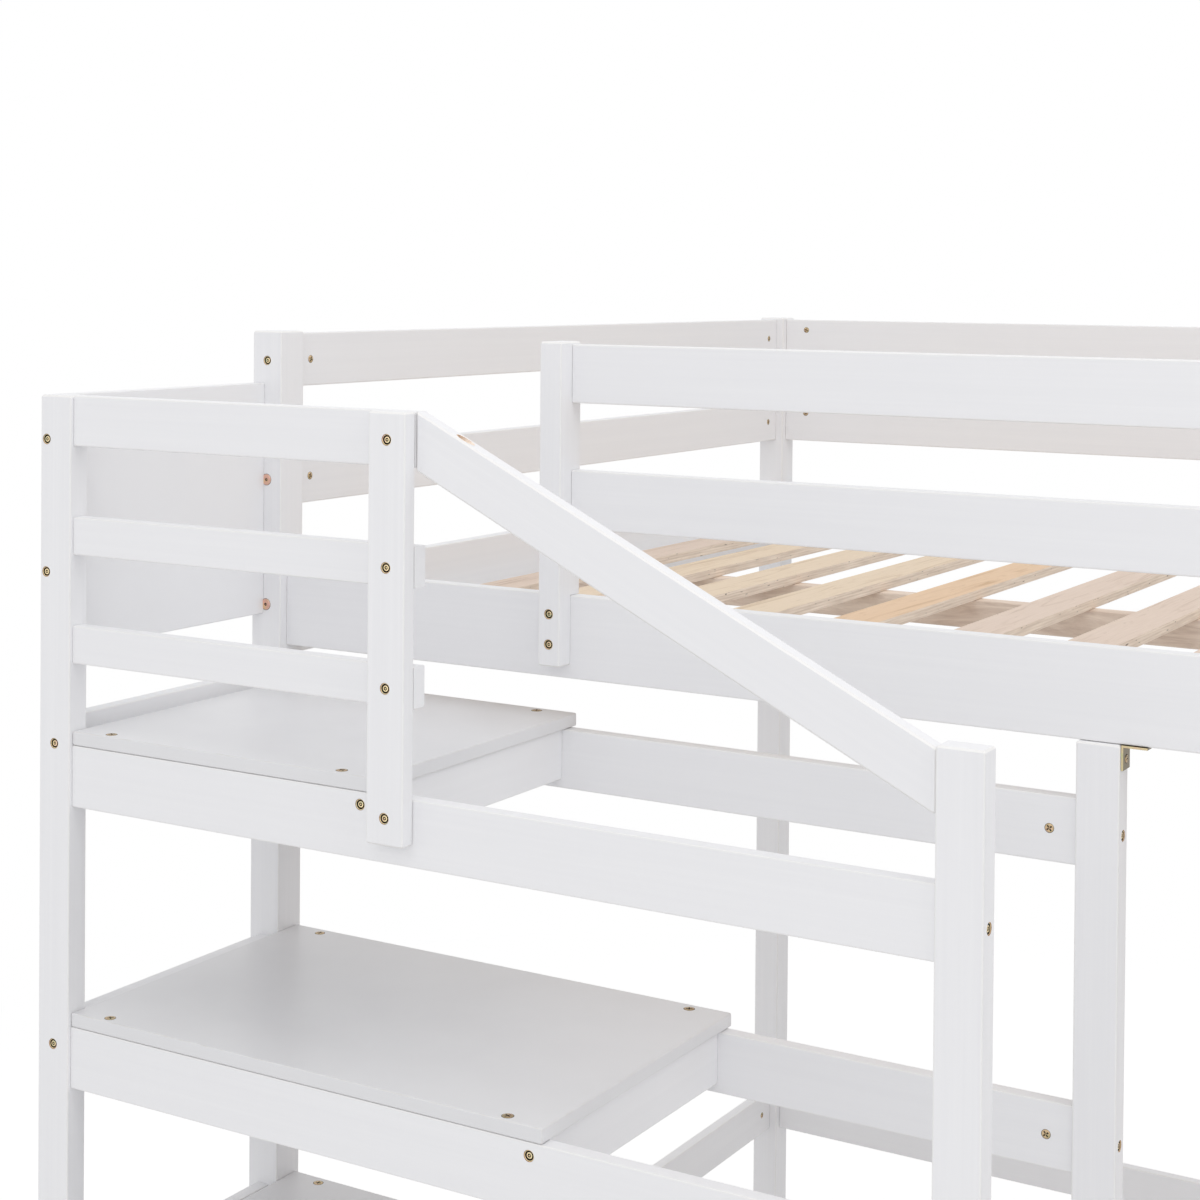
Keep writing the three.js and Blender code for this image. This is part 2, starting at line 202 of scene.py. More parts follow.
# %% [markdown]
# ## White paint over pine
# The rails and posts are sprayed with a satin white. Up close it isn't flat: the pine's grain telegraphs
# through as long, faint streaks. The eased edges are a little warmer than the faces, where the paint is
# worn thin, and a little lighter, which is a painted highlight along them.
# The streaks have to follow each piece's length, so the same recipe is mixed once for each direction.

# %% Find the grain and the eased edges
FLAT_FACE = 0.98  # a face whose normal lies nearer to an axis than this counts as flat
EDGE_GAIN = 8.0


def grain(along, rates):
    """The two rates, across and along the grain, as one for each axis."""
    across_rate, along_rate = rates
    return tuple(along_rate if axis == along else across_rate for axis in "xyz")


def turned(recipe, vector, turn):
    """The vector as a piece that is turned out of line with the axes sees it."""
    if turn is None:
        return vector
    inputs = {"Vector": vector, "Rotation": turn}
    return recipe.add("ShaderNodeMapping", inputs, vector_type="POINT").outputs[0]


def edge_mask(recipe, turn=None):
    """1 on the narrow faces of eased edges, whose normals lean away from all three axes."""
    normal = turned(recipe, recipe.facing(), turn)
    size = recipe.add("ShaderNodeVectorMath", {0: normal}, operation="ABSOLUTE").outputs[0]
    parts = recipe.add("ShaderNodeSeparateXYZ", {0: size}).outputs
    most = recipe.maths("MAXIMUM", recipe.maths("MAXIMUM", parts[0], parts[1]), parts[2])
    return recipe.maths("MULTIPLY", recipe.maths("SUBTRACT", FLAT_FACE, most), EDGE_GAIN, clamp=True)


print("on x, y and z a post's grain runs", grain("z", ("across", "along")))

# %% [markdown]
# ## Mixing the paint
# Three layers make the paint: fine streaks, wide soft bands and the grit of the spray. All three are
# noise, and only how far each is stretched along the grain differs.

# %% Mix the paint
PAINT_WHITE = (0.885, 0.885, 0.898)
PAINT_SHADE = (0.840, 0.840, 0.858)
# warmer, where the paint is worn thin on the eased edges, and lighter, as a painted highlight along them
PAINT_WORN_AND_HIGHLIT = (0.872, 0.860, 0.842)
STREAK_RATES = (280.0, 4.0)  # streaks to a metre across and along the grain
STREAK_GAIN = {"x": 1.4, "y": 1.4, "z": 2.5}  # the posts' grain shows more than the rails'
BAND_RATES = (90.0, 1.6)
BAND_GAIN = 1.6
SPRAY_RATE = 900.0
SHADE_SHARE = (0.0, 0.6)  # the least and the most of the shade that a streak or band lays on
WORN_AND_HIGHLIT_SHARE = 0.8
PAINT_ROUGHNESS = (0.36, 0.5)
PAINT_RELIEF = 0.15 * MM


def paint(name, along, turn=None):
    recipe = Recipe(name)
    place = turned(recipe, recipe.place(), turn)
    streaks = recipe.streaks(place, grain(along, STREAK_RATES), 3.0, 0.6)
    streaks = recipe.sharpen(streaks, STREAK_GAIN[along])
    bands = recipe.streaks(place, grain(along, BAND_RATES), 2.0, 0.5, 0.3)
    bands = recipe.sharpen(bands, BAND_GAIN)
    spray = recipe.noise(place, SPRAY_RATE, 2.0)
    colour = recipe.blend(recipe.spread(streaks, *SHADE_SHARE), PAINT_WHITE, PAINT_SHADE)
    colour = recipe.blend(recipe.spread(bands, *SHADE_SHARE), colour, PAINT_SHADE)
    # the eased edges: worn paint and a painted highlight
    worn_and_highlit = recipe.maths("MULTIPLY", edge_mask(recipe, turn), WORN_AND_HIGHLIT_SHARE)
    colour = recipe.blend(worn_and_highlit, colour, PAINT_WORN_AND_HIGHLIT)
    relief = recipe.mixture(streaks, 0.8, spray, 0.2)
    roughness = recipe.spread(bands, *PAINT_ROUGHNESS)
    return recipe.finish(colour, roughness, relief, PAINT_RELIEF, 0.35, gloss=0.4)


paint_along = {axis: paint("white_paint_along_" + axis, axis) for axis in "xyz"}
print("paint mixed for", sorted(paint_along))

# %% [markdown]
# ## White boards
# The step boards and the landing's side panel are flat board, so no grain shows. The sprayed face has a
# very fine orange peel and is a little smoother than the timber, so it mirrors the posts faintly. Along the
# arris the paint is thinner here and there, and a little of the brown board shows. The boards that feet
# tread on are painted a shade greyer than the panel: that grey is painted shade on their upward faces.

# %% Mix the board finish
PANEL_WHITE = (0.885, 0.885, 0.898)
PANEL_SHADE = (0.860, 0.860, 0.875)
# greyer than the panel: painted shade on the treads' upward faces
SHADED_TREAD_WHITE = (0.780, 0.780, 0.792)
SHADED_TREAD_GREY = (0.745, 0.745, 0.760)
BOARD_ARRIS = (0.660, 0.610, 0.560)
CLOUD_RATE, PEEL_RATE, WEAR_RATE = 14.0, 650.0, 60.0
WEAR_SHARE = (-0.25, 0.6)  # below nothing, so that the paint is whole in places
BOARD_ROUGHNESS = (0.30, 0.38)
BOARD_RELIEF = 0.08 * MM


def board_paint(name, white, shade):
    recipe = Recipe(name)
    place = recipe.place()
    cloud = recipe.noise(place, CLOUD_RATE, 3.0, 0.55)
    peel = recipe.noise(place, PEEL_RATE, 2.0)
    colour = recipe.blend(cloud, white, shade)
    thin_paint = recipe.spread(recipe.noise(place, WEAR_RATE, 4.0), *WEAR_SHARE)
    colour = recipe.blend(recipe.maths("MULTIPLY", edge_mask(recipe), thin_paint), colour, BOARD_ARRIS)
    roughness = recipe.spread(cloud, *BOARD_ROUGHNESS)
    return recipe.finish(colour, roughness, peel, BOARD_RELIEF, 0.25, gloss=0.45)


panel_paint = board_paint("white_panel_paint", PANEL_WHITE, PANEL_SHADE)
tread_paint_shaded = board_paint("white_tread_paint", SHADED_TREAD_WHITE, SHADED_TREAD_GREY)
print("board paint mixed")

# %% [markdown]
# ## Bare plywood
# The slats are cut from plywood and left bare. Their tops are light veneer with a long soft figure and a
# few darker flecks. Each layer of that is its own stretched noise, laid over the one before.

# %% Mix the veneer on top
FIGURE_RATES = (55.0, 3.5)  # patches to a metre across and along the grain, here and below
FLECK_RATES = (260.0, 34.0)
FLECK_BROWN = (0.30, 0.19, 0.12)


def veneer(recipe, place, along, fibre, light, dark):
    figure = recipe.streaks(place, grain(along, FIGURE_RATES), 6.0, 0.62, 1.4)
    colour = recipe.ramp(figure, [(0.30, dark), (0.46, light), (0.60, light), (0.78, dark)])
    colour = recipe.blend(recipe.spread(recipe.sharpen(fibre, 2.0), 0.0, 0.4), colour, dark)
    fleck = recipe.strongest(recipe.streaks(place, grain(along, FLECK_RATES), 2.0), 0.70, 9.0)
    return recipe.blend(recipe.maths("MULTIPLY", fleck, 0.6), colour, FLECK_BROWN)


print("veneer ready")

# %% [markdown]
# ## Ply edges
# The sides of a slat show its plies, light and dark in turn. Both ply colours are painted lighter than bare
# plywood: painted light on the slats' sides. A sine wave over the height draws them, and a little noise
# makes them wander. Dark streaks and small voids lie along them.

# %% Mix the ply edges
PLY_COUNT = 7
SLAT_THICK = 13 * MM
PLY_WAVE = 2 * math.pi * (PLY_COUNT / 2) / SLAT_THICK  # one wave is a light ply and a dark one
WANDER_RATES = (5.0, 5.0, 40.0)  # on X, Y and Z
EDGE_FIBRE_RATES = (60.0, 60.0, 500.0)
STAIN_RATES = (330.0, 15.0)
VOID_RATES = (420.0, 60.0)
# both ply colours lighter than bare plywood: painted light on the slats' sides
PLY_PALE_WITH_PAINTED_LIGHT = (0.930, 0.805, 0.680)
PLY_DARK_WITH_PAINTED_LIGHT = (0.790, 0.655, 0.530)
PLY_STAIN = (0.460, 0.340, 0.255)
VOID_BROWN = (0.13, 0.085, 0.06)


def ply_edges(recipe, place, along, level, edge_fibre):
    wander = recipe.streaks(place, WANDER_RATES, 2.0)
    wave = recipe.maths("MULTIPLY_ADD", level, PLY_WAVE, recipe.maths("MULTIPLY", wander, 3.0))
    plies = recipe.maths("MULTIPLY_ADD", recipe.maths("SINE", wave), 0.5, 0.5)
    side = recipe.blend(plies, PLY_PALE_WITH_PAINTED_LIGHT, PLY_DARK_WITH_PAINTED_LIGHT)
    side = recipe.blend(recipe.spread(edge_fibre, 0.0, 0.6), side, PLY_PALE_WITH_PAINTED_LIGHT)
    stain = recipe.sharpen(recipe.streaks(place, grain(along, STAIN_RATES), 4.0, 0.6), 3.0)
    side = recipe.blend(recipe.spread(stain, 0.0, 0.45), side, PLY_STAIN)
    void = recipe.strongest(recipe.streaks(place, grain(along, VOID_RATES), 1.0), 0.70, 14.0)
    return recipe.blend(recipe.maths("MULTIPLY", void, 0.8), side, VOID_BROWN)


print("plies:", PLY_COUNT, "in", SLAT_THICK / MM, "mm")

# %% [markdown]
# ## Whole slats
# The side and the top are told apart by which way the surface faces. The slats at the foot end are one
# piece with the beam below them, so there the height tells timber from plywood, and a slow change along
# the bed keeps those slats from being all alike. The other slats take one of three tones.

# %% Mix the plywood
FIBRE_RATES = (900.0, 18.0)
BEAM_RATES = (7.0, 48.0, 48.0)
SLAT_CHANGE_RATES = (9.0, 0.0, 0.0)
LEVEL_FACE = 0.9  # a normal with more than this along Z belongs to a top or an underside
WOOD_ROUGHNESS = (0.58, 0.75)
WOOD_RELIEF = 0.2 * MM
BEAM_LIGHT = (0.865, 0.735, 0.622)
BEAM_DARK = (0.640, 0.508, 0.415)
FAR_SLAT_TINT = (1.0, 0.96, 0.86)


def plywood(name, light, dark, along="y", beam_top=None):
    """Bare plywood. Where beam_top is given, what lies below that height is solid timber along X."""
    recipe = Recipe(name)
    place = recipe.place()
    level = recipe.add("ShaderNodeSeparateXYZ", {0: place}).outputs["Z"]
    fibre = recipe.streaks(place, grain(along, FIBRE_RATES), 3.0, 0.6)
    edge_fibre = recipe.streaks(place, EDGE_FIBRE_RATES, 4.0, 0.7)
    top = veneer(recipe, place, along, fibre, light, dark)
    side = ply_edges(recipe, place, along, level, edge_fibre)
    upward = recipe.add("ShaderNodeSeparateXYZ", {0: recipe.facing()}).outputs["Z"]
    is_flat = recipe.maths("GREATER_THAN", recipe.maths("ABSOLUTE", upward), LEVEL_FACE)
    colour = recipe.blend(is_flat, side, top)
    if beam_top is not None:
        slat_change = recipe.sharpen(recipe.streaks(place, SLAT_CHANGE_RATES, 0.0), 4.0)
        colour = recipe.blend(slat_change, colour, FAR_SLAT_TINT, "MULTIPLY")
        timber = recipe.streaks(place, BEAM_RATES, 5.0, 0.65, 2.0)
        timber = recipe.ramp(timber, [(0.35, BEAM_DARK), (0.65, BEAM_LIGHT)])
        colour = recipe.blend(recipe.maths("LESS_THAN", level, beam_top), colour, timber)
    relief = recipe.mixture(fibre, 0.5, edge_fibre, 0.5)
    roughness = recipe.spread(fibre, *WOOD_ROUGHNESS)
    return recipe.finish(colour, roughness, relief, WOOD_RELIEF, 0.5, gloss=0.3)


SLAT_TONES = {
    "pale": ((0.830, 0.690, 0.530), (0.630, 0.485, 0.340)),
    "warm": ((0.820, 0.605, 0.420), (0.630, 0.425, 0.258)),
    "grey": ((0.785, 0.650, 0.552), (0.585, 0.455, 0.360)),
}
LEDGER_TONE = ((0.66, 0.55, 0.45), (0.50, 0.39, 0.30))
plywoods = {tone: plywood("plywood_" + tone, *colours) for tone, colours in SLAT_TONES.items()}
BEAM_NODE = "slat_beam_and_far_slats"
slat_bottom = low("slat_1", "z") - nodes[BEAM_NODE].matrix_world.translation.z
plywoods["beam"] = plywood("plywood_over_beam", *SLAT_TONES["grey"], beam_top=slat_bottom - HAIRLINE / 2)
lengthwise_wood = plywood("plywood_lengthwise", *LEDGER_TONE, along="x")
print("plywood tones:", sorted(plywoods))

# %% [markdown]
# ## Plated steel
# Bolts, nuts, screws and the bracket are steel with a yellow zinc coat. It looks gold at first, but the
# coat is so thin that it shifts towards green and pink from place to place, as oil on water does. Two of
# the bolts came out nearly copper, and the barrel nuts are browner. The screws are plated darker still,
# which is painted shade for the dark room that their heads mirror. The bracket is stamped from sheet with
# bright cut edges, and its faces are near black: partly the sheet's own olive coat, partly painted shade
# for the dark room that those faces mirror.

# %% Mix the plating
PLATE_TONES = {  # the main tone, the greenish patches and the pink ones
    "yellow": ((0.84, 0.68, 0.40), (0.62, 0.61, 0.40), (0.84, 0.58, 0.44)),
    "copper": ((0.84, 0.52, 0.41), (0.76, 0.60, 0.30), (0.84, 0.50, 0.46)),
    "olive": ((0.74, 0.62, 0.38), (0.66, 0.64, 0.36), (0.78, 0.52, 0.38)),
    "brown": ((0.62, 0.46, 0.28), (0.42, 0.39, 0.22), (0.64, 0.42, 0.32)),
    # darker: painted shade for the dark room that the screws' heads mirror
    "dull": ((0.48, 0.35, 0.20), (0.32, 0.30, 0.16), (0.50, 0.33, 0.24)),
}
# near black: partly the bracket's own coat, partly painted shade for the dark room that its faces mirror
BRACKET_COAT_AND_SHADE = (0.15, 0.115, 0.06)
PATCH_RATE = 160.0
SCRATCH_RATES = (700.0, 700.0, 4000.0)
PLATE_ROUGHNESS = (0.22, 0.42)
PLATE_RELIEF = 0.05 * MM


def plating(tone, sheet_coat_and_shade=None):
    """Zinc plate. Faces towards X and Z take the colour of sheet_coat_and_shade, if there is one, and edges
    don't: the sheet's own coat darkened with painted shade.
    """
    main, greenish, pinkish = PLATE_TONES[tone]
    recipe = Recipe(tone + "_zinc_plate")
    place = recipe.place()
    patch = recipe.noise(place, PATCH_RATE, 3.0, 0.6, 0.6)
    scratch = recipe.streaks(place, SCRATCH_RATES, 2.0)
    colour = recipe.ramp(patch, [(0.32, greenish), (0.48, main), (0.56, main), (0.70, pinkish)])
    if sheet_coat_and_shade is not None:
        sideways = recipe.add("ShaderNodeSeparateXYZ", {0: recipe.facing()}).outputs["Y"]
        is_sheet = recipe.maths("LESS_THAN", recipe.maths("ABSOLUTE", sideways), 0.5)
        colour = recipe.blend(is_sheet, colour, sheet_coat_and_shade)
    roughness = recipe.spread(scratch, *PLATE_ROUGHNESS)
    return recipe.finish(colour, roughness, scratch, PLATE_RELIEF, 0.3, metal=1.0)


zinc = plating("yellow")
copper = plating("copper")
olive = plating("olive", BRACKET_COAT_AND_SHADE)
brown = plating("brown")
dull = plating("dull")
print("plating mixed:", sorted(PLATE_TONES))

# %% [markdown]
# ## Bored wood
# The holes are bored after the wood is painted, so a fine ring of raw wood shows round each bolt. A
# near-black wood finish, mixed the same way, is painted shade for the grooves, sockets and gaps of the
# fasteners. The handrail's pocket lining is painted much lighter than bare wood: painted light against the
# shade inside the pocket.

# %% Mix the bored wood
BORED_FIBRE_RATE = 800.0
BORED_ROUGHNESS = (0.7, 0.9)
BORED_RELIEF = 0.1 * MM


def bored_wood(name, dark, light):
    recipe = Recipe(name)
    fibre = recipe.noise(recipe.place(), BORED_FIBRE_RATE, 3.0)
    colour = recipe.ramp(fibre, [(0.3, dark), (0.7, light)])
    roughness = recipe.spread(fibre, *BORED_ROUGHNESS)
    return recipe.finish(colour, roughness, fibre, BORED_RELIEF, 0.5, gloss=0.2)


raw_rim = bored_wood("bored_wood", (0.34, 0.17, 0.08), (0.64, 0.42, 0.27))
# near black: painted shade for the fasteners' grooves, sockets and gaps
recess_painted_shade = bored_wood("recess_painted_shade", (0.015, 0.012, 0.009), (0.05, 0.035, 0.025))
# much lighter than bare wood: painted light against the shade inside the handrail's pocket
pocket_wood_painted_light = bored_wood("lightened_bored_wood", (0.86, 0.68, 0.54), (0.97, 0.90, 0.82))
print("bored wood mixed")

# %% [markdown]
# ## Softer edges
# A fine rounding breaks the hard lines beside a piece's eased edges. Smooth shading alone would bend the
# light over the whole face, so it is weighted by area: big faces stay flat, and only the narrow ones
# between them blend.

# %% Soften a piece's edges
TOUCHING = 0.01 * MM
SAME_PLANE = math.radians(0.5)
ROUNDING = 0.25 * MM
ROUNDED_ANGLE = math.radians(30)


def soften_edges(piece):
    weld = piece.modifiers.new("weld", "WELD")
    weld.merge_threshold = TOUCHING
    merge = piece.modifiers.new("merge_flat_faces", "DECIMATE")
    merge.decimate_type = "DISSOLVE"
    merge.angle_limit = SAME_PLANE
    rounding = piece.modifiers.new("rounding", "BEVEL")
    rounding.width = ROUNDING
    rounding.segments = 2
    rounding.limit_method = "ANGLE"
    rounding.angle_limit = ROUNDED_ANGLE
    shading = piece.modifiers.new("flat_faces_stay_flat", "WEIGHTED_NORMAL")
    shading.mode = "FACE_AREA"
    shading.weight = 100
    for face in piece.data.polygons:
        face.use_smooth = True


print("edges are rounded by", ROUNDING / MM, "mm")

# %% [markdown]
# ## Dressing the frame
# Each wooden piece, and the steel bracket, keeps its shape from the frame and gets its finish here. The
# frame's own record says which stuff a piece is made of, and its box says which way its grain runs.

# %% Give every piece of the frame its finish
def longest_axis(node):
    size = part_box(node)[1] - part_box(node)[0]
    return "xyz"[max(range(3), key=lambda axis: size[axis])]


def dress(node, material):
    piece = nodes[node]
    piece.data.materials.clear()
    piece.data.materials.append(material)


SLAT_TONE_BY_NUMBER = {1: "grey", 2: "pale", 3: "pale", 4: "pale", 5: "warm", 6: "grey", 7: "grey"}
slots = {entry["node"]: entry["material_slot"] for entry in frame["record"]["subparts"]}
for node in nodes:
    slot = slots[node]
    if slot == "white_paint":
        material = paint_along[longest_axis(node)]
    elif slot == "white_board":
        material = panel_paint if node == "landing_side_panel" else tread_paint_shaded
    elif node.startswith("slat_ledger"):
        material = lengthwise_wood
    elif slot == "bare_wood":
        number = node.removeprefix("slat_")
        material = plywoods[SLAT_TONE_BY_NUMBER[int(number)] if number.isdigit() else "beam"]
    else:
        material = olive
    dress(node, material)
    soften_edges(nodes[node])

print("dressed", len(nodes), "pieces")

# %% [markdown]
# ## The handrail's own paint
# The handrail slopes, so its streaks have to slope with it. The slope is read from its box.

# %% Paint the handrail along its slope
HANDRAIL_DEPTH = 57.5 * MM  # measured upright
rail_low, rail_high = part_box("handrail")
slope = math.atan2(rail_high.z - rail_low.z - HANDRAIL_DEPTH, rail_high.x - rail_low.x)
dress("handrail", paint("white_paint_along_slope", "x", turn=(0, -slope, 0)))
print("handrail slopes", round(math.degrees(slope), 1), "degrees")

# %% [markdown]
# ## Turned and stamped shapes
# A bolt head is a stack of rings: round on the outside, six-sided in the socket. A screw's cross recess is
# the same idea with a four-pointed ring. So one function stacks rings of any outline, and every fastener
# is a short list of them, measured from the face of the wood. Each ring also names the finish of the band
# that runs from it to the next ring.

# %% Stack rings into a mesh
RING_POINTS = 24
# the second finish in each fastener's list is near black: painted shade in its grooves, sockets and gaps
PLATE, PAINTED_SHADE = 0, 1  # finishes by their place in a fastener's list of materials
CROSS_ARM = math.radians(20)  # half the angle that one arm takes up
CROSS_WAIST = 0.36  # how far out the corners between the arms lie
CORNER_ANGLE = math.radians(35)  # what bends more than this is shaded as a corner


def outline(shape, radius, angle):
    """How far out a ring lies at an angle. A six-sided ring's radius is measured to its flats."""
    if shape == "six":
        sector = math.radians(60)
        return radius / math.cos((angle + sector / 2) % sector - sector / 2)
    if shape == "cross":
        quarter = math.radians(90)
        from_arm = abs((angle + quarter / 2) % quarter - quarter / 2)
        return radius if from_arm < CROSS_ARM else radius * CROSS_WAIST
    return radius


def stack_rings(mesh, rings, placing, hollow=False):
    """Adds one stacked shape to a bmesh. A ring is (outline, radius, height, finish), in millimetres.

    A height may be a function of the angle and the radius. The two ends are closed with caps, or, in a
    hollow shape, the last ring joins the first.
    """
    loops = []
    for shape, radius, height, finish in rings:
        loop = []
        for point in range(RING_POINTS):
            angle = 2 * math.pi * point / RING_POINTS
            reach = outline(shape, radius, angle)
            level = height(angle, reach) if callable(height) else height
            where = Vector((reach * math.cos(angle), reach * math.sin(angle), level)) * MM
            loop.append(mesh.verts.new(placing @ where))
        loops.append((loop, finish))
    following = loops[1:] + loops[:1] if hollow else loops[1:]
    for (outer, finish), (inner, _) in zip(loops, following):
        for point in range(RING_POINTS):
            after = (point + 1) % RING_POINTS
            band = mesh.faces.new((outer[point], outer[after], inner[after], inner[point]))
            band.material_index = finish
    if not hollow:
        (first, first_finish), (last, last_finish) = loops[0], loops[-1]
        mesh.faces.new(list(reversed(first))).material_index = first_finish
        mesh.faces.new(last).material_index = last_finish


print("points in a ring:", RING_POINTS)

# %% [markdown]
# ## Many fasteners in one piece
# All the bolts in one post make one piece, because they ride together and share a finish. Each is stacked
# on the face of the wood that it sits in, so its list of rings never needs to know which face that is.

# %% Make a piece of many fasteners
FACING = {
    "+x": (0, math.pi / 2, 0),
    "-x": (0, -math.pi / 2, 0),
    "+y": (-math.pi / 2, 0, 0),
    "-y": (math.pi / 2, 0, 0),
    "+z": (0, 0, 0),
}


def fasteners(name, rings, places, materials, turn=0.0, hollow=False):
    """One piece with a fastener at each place, which is a point and the face that it is in.

    Each is turned a little further about its own axis than the one before it.
    """
    mesh = bmesh.new()
    for number, (point, face) in enumerate(places):
        spin = Matrix.Rotation(turn * (number + 1), 4, "Z")
        placing = Matrix.Translation(point) @ Euler(FACING[face]).to_matrix().to_4x4() @ spin
        stack_rings(mesh, rings, placing, hollow)
    data = bpy.data.meshes.new(name)
    mesh.to_mesh(data)
    mesh.free()
    data.shade_smooth()
    data.set_sharp_from_angle(angle=CORNER_ANGLE)
    piece = bpy.data.objects.new(name, data)
    bpy.context.scene.collection.objects.link(piece)
    for material in materials:
        data.materials.append(material)
    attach(piece, "root")


print("fasteners can face", list(FACING))

# %% [markdown]
# ## Bolts in their seats
# Long bolts run through the posts into the ends of the rails. Each sits in a seat 12 mm wide and 3 mm
# deep. Bolts along and across a post pass each other, so one set sits a little higher than the other.
# The two below the top one in the front left post are another kind, with a wide flat copper head.

# %% Work out the places on the corner posts
BOLT_RISE = 15.5 * MM  # how far above a rail's middle the higher set sits
END_RAIL_RISE = 14 * MM
SIDE_RAIL_SPREAD = 25 * MM  # the side rail's two bolts, up and down from its middle
STEPS = (1, 2, 3, 4)
LEVELS = ("top", "low")

bolt_places = {}


def bolt(node, face, first, height):
    bolt_places.setdefault(node, []).append((on_face(node, face, first, height), face))


def corner_post_bolts(side, end):
    post = f"corner_post_{side}_{end}"
    outward = "-y" if side == "front" else "+y"
    sideways = "-x" if end == "left" else "+x"
    across = [middle(f"guard_rail_{end}_top", "z"), middle(f"low_rail_{end}", "z")]
    if post != "corner_post_front_left":
        across += [middle(f"guard_rail_{end}_low", "z"), middle(f"end_rail_{end}", "z") + END_RAIL_RISE]
    for height in across:
        bolt(post, outward, middle(post, "x"), height)
    side_rail = middle(f"side_rail_{side}", "z")
    lengthwise = [side_rail - SIDE_RAIL_SPREAD, side_rail + SIDE_RAIL_SPREAD]
    if post == "corner_post_front_left":
        lengthwise += [middle(f"step_rail_back_{step}", "z") + HAIRLINE for step in STEPS]
    else:
        lengthwise += [middle(f"guard_rail_{side}_{level}", "z") + BOLT_RISE for level in LEVELS]
    if side == "back":
        lengthwise.append(middle("low_rail_back", "z") + BOLT_RISE)
    for height in lengthwise:
        bolt(post, sideways, middle(post, "y"), height)


for side in ("front", "back"):
    for end in ("left", "right"):
        corner_post_bolts(side, end)
print("bolts in the corner posts:", sum(len(places) for places in bolt_places.values()))

# %% [markdown]
# ## Bolts in the steps
# The entry post and the steps' posts have their bolts too. The right cross rail under each board is held
# from the long rails' outer faces, and the left one through the head post. The heights are those of the
# rails that each bolt holds.

# %% Work out the places on the steps
ENTRY_DROPS = (19.5 * MM, 53.5 * MM)  # down from the side rail's top
PANEL_DROPS = (48 * MM, 192 * MM)  # down from the side panel's top
CROSS_DROP = 13 * MM  # down from a step rail's top
LANDING_LEVELS = ("top", "middle", "low")

rail_top = high("side_rail_front", "z")
for drop in ENTRY_DROPS:
    bolt("entry_post", "-y", middle("entry_post", "x"), rail_top - drop)
post_middle = middle("corner_post_front_left", "y")
for level in LEVELS:
    bolt("entry_post", "-x", post_middle, middle(f"guard_rail_front_{level}", "z"))

step_rail_heights = [middle(f"step_rail_front_{step}", "z") + HAIRLINE for step in STEPS]
landing_heights = [middle(f"landing_rail_{level}", "z") for level in LANDING_LEVELS]
panel = "landing_side_panel"
for drop in PANEL_DROPS:
    bolt("stair_post_head", "-y", middle(panel, "x"), high(panel, "z") - drop)
for step in STEPS:
    cross = f"cross_rail_left_{step}"
    bolt("stair_post_head", "-y", middle(cross, "x"), middle(cross, "z"))
for height in step_rail_heights + landing_heights:
    bolt("stair_post_head", "-x", middle("stair_post_head", "y"), height)
for foot in ("stair_post_foot_front", "stair_post_foot_back"):
    for height in step_rail_heights:
        bolt(foot, "+x", middle(foot, "y"), height)
for height in landing_heights + [step_rail_heights[-1] + BOLT_RISE]:
    bolt("landing_post", "-y", middle("landing_post", "x"), height)
for step in STEPS:
    for side, face in (("front", "-y"), ("back", "+y")):
        rail = f"step_rail_{side}_{step}"
        bolt(rail, face, middle(f"cross_rail_right_{step}", "x"), high(rail, "z") - CROSS_DROP)

print("bolts to place:", sum(len(places) for places in bolt_places.values()))

# %% [markdown]
# ## The bolts' heads
# A bolt's head is a plated rim round a groove, with a raised middle that has the socket in it. The groove
# and the socket are painted near black, as shade. A thin lip lies in each seat: its outer band is painted
# like the post, and inside it the wood is raw. The two copper heads are wider and lie on the face of the
# post, with their sides and socket painted near black as shade.

# %% Set the bolts
BOLT_TURN = 0.7  # each head is turned this much further than the last, in radians
COPPER_TURN = 0.5
BOLT_HEAD = [
    ("round", 5.5, -2.9, PLATE),
    ("round", 5.5, -0.8, PLATE),
    ("round", 5.2, -0.6, PLATE),
    ("round", 4.8, -0.8, PAINTED_SHADE),
    ("round", 4.7, -2.4, PAINTED_SHADE),
    ("round", 3.2, -2.4, PAINTED_SHADE),
    ("round", 3.1, -1.1, PLATE),
    ("round", 2.8, -0.9, PLATE),
    ("six", 1.8, -1.0, PAINTED_SHADE),
    ("six", 1.75, -2.4, PAINTED_SHADE),
    ("round", 0.9, -2.4, PLATE),
    ("round", 0.7, -1.1, PLATE),
]
PAINTED, RAW = 0, 1
SEAT_LIP = [
    ("round", 6.45, -0.3, PAINTED),
    ("round", 6.45, -0.03, PAINTED),
    ("round", 5.75, -0.03, RAW),
    ("round", 5.6, -2.8, RAW),
    ("round", 5.95, -2.8, RAW),
]
for node, places in bolt_places.items():
    fasteners("bolts_" + node, BOLT_HEAD, places, [zinc, recess_painted_shade], turn=BOLT_TURN)
    lip = [paint_along["z"], raw_rim]
    fasteners("bolt_seats_" + node, SEAT_LIP, places, lip, hollow=True)

COPPER_HEAD = [
    ("round", 7.1, -0.2, PAINTED_SHADE),
    ("round", 7.1, 0.2, PAINTED_SHADE),
    ("round", 6.7, 0.3, PLATE),
    ("round", 6.3, 0.8, PLATE),
    ("round", 2.6, 0.9, PLATE),
    ("six", 1.7, 0.7, PAINTED_SHADE),
    ("six", 1.6, -1.2, PAINTED_SHADE),
    ("round", 0.7, -1.2, PLATE),
    ("round", 0.5, 0.2, PLATE),
]
post = "corner_post_front_left"
heights = (middle("guard_rail_left_low", "z"), middle("end_rail_left", "z") + END_RAIL_RISE)
places = [(on_face(post, "-y", middle(post, "x"), height), "-y") for height in heights]
fasteners("copper_bolts", COPPER_HEAD, places, [copper, recess_painted_shade], turn=COPPER_TURN)
print("bolts and seats on", len(bolt_places), "pieces")

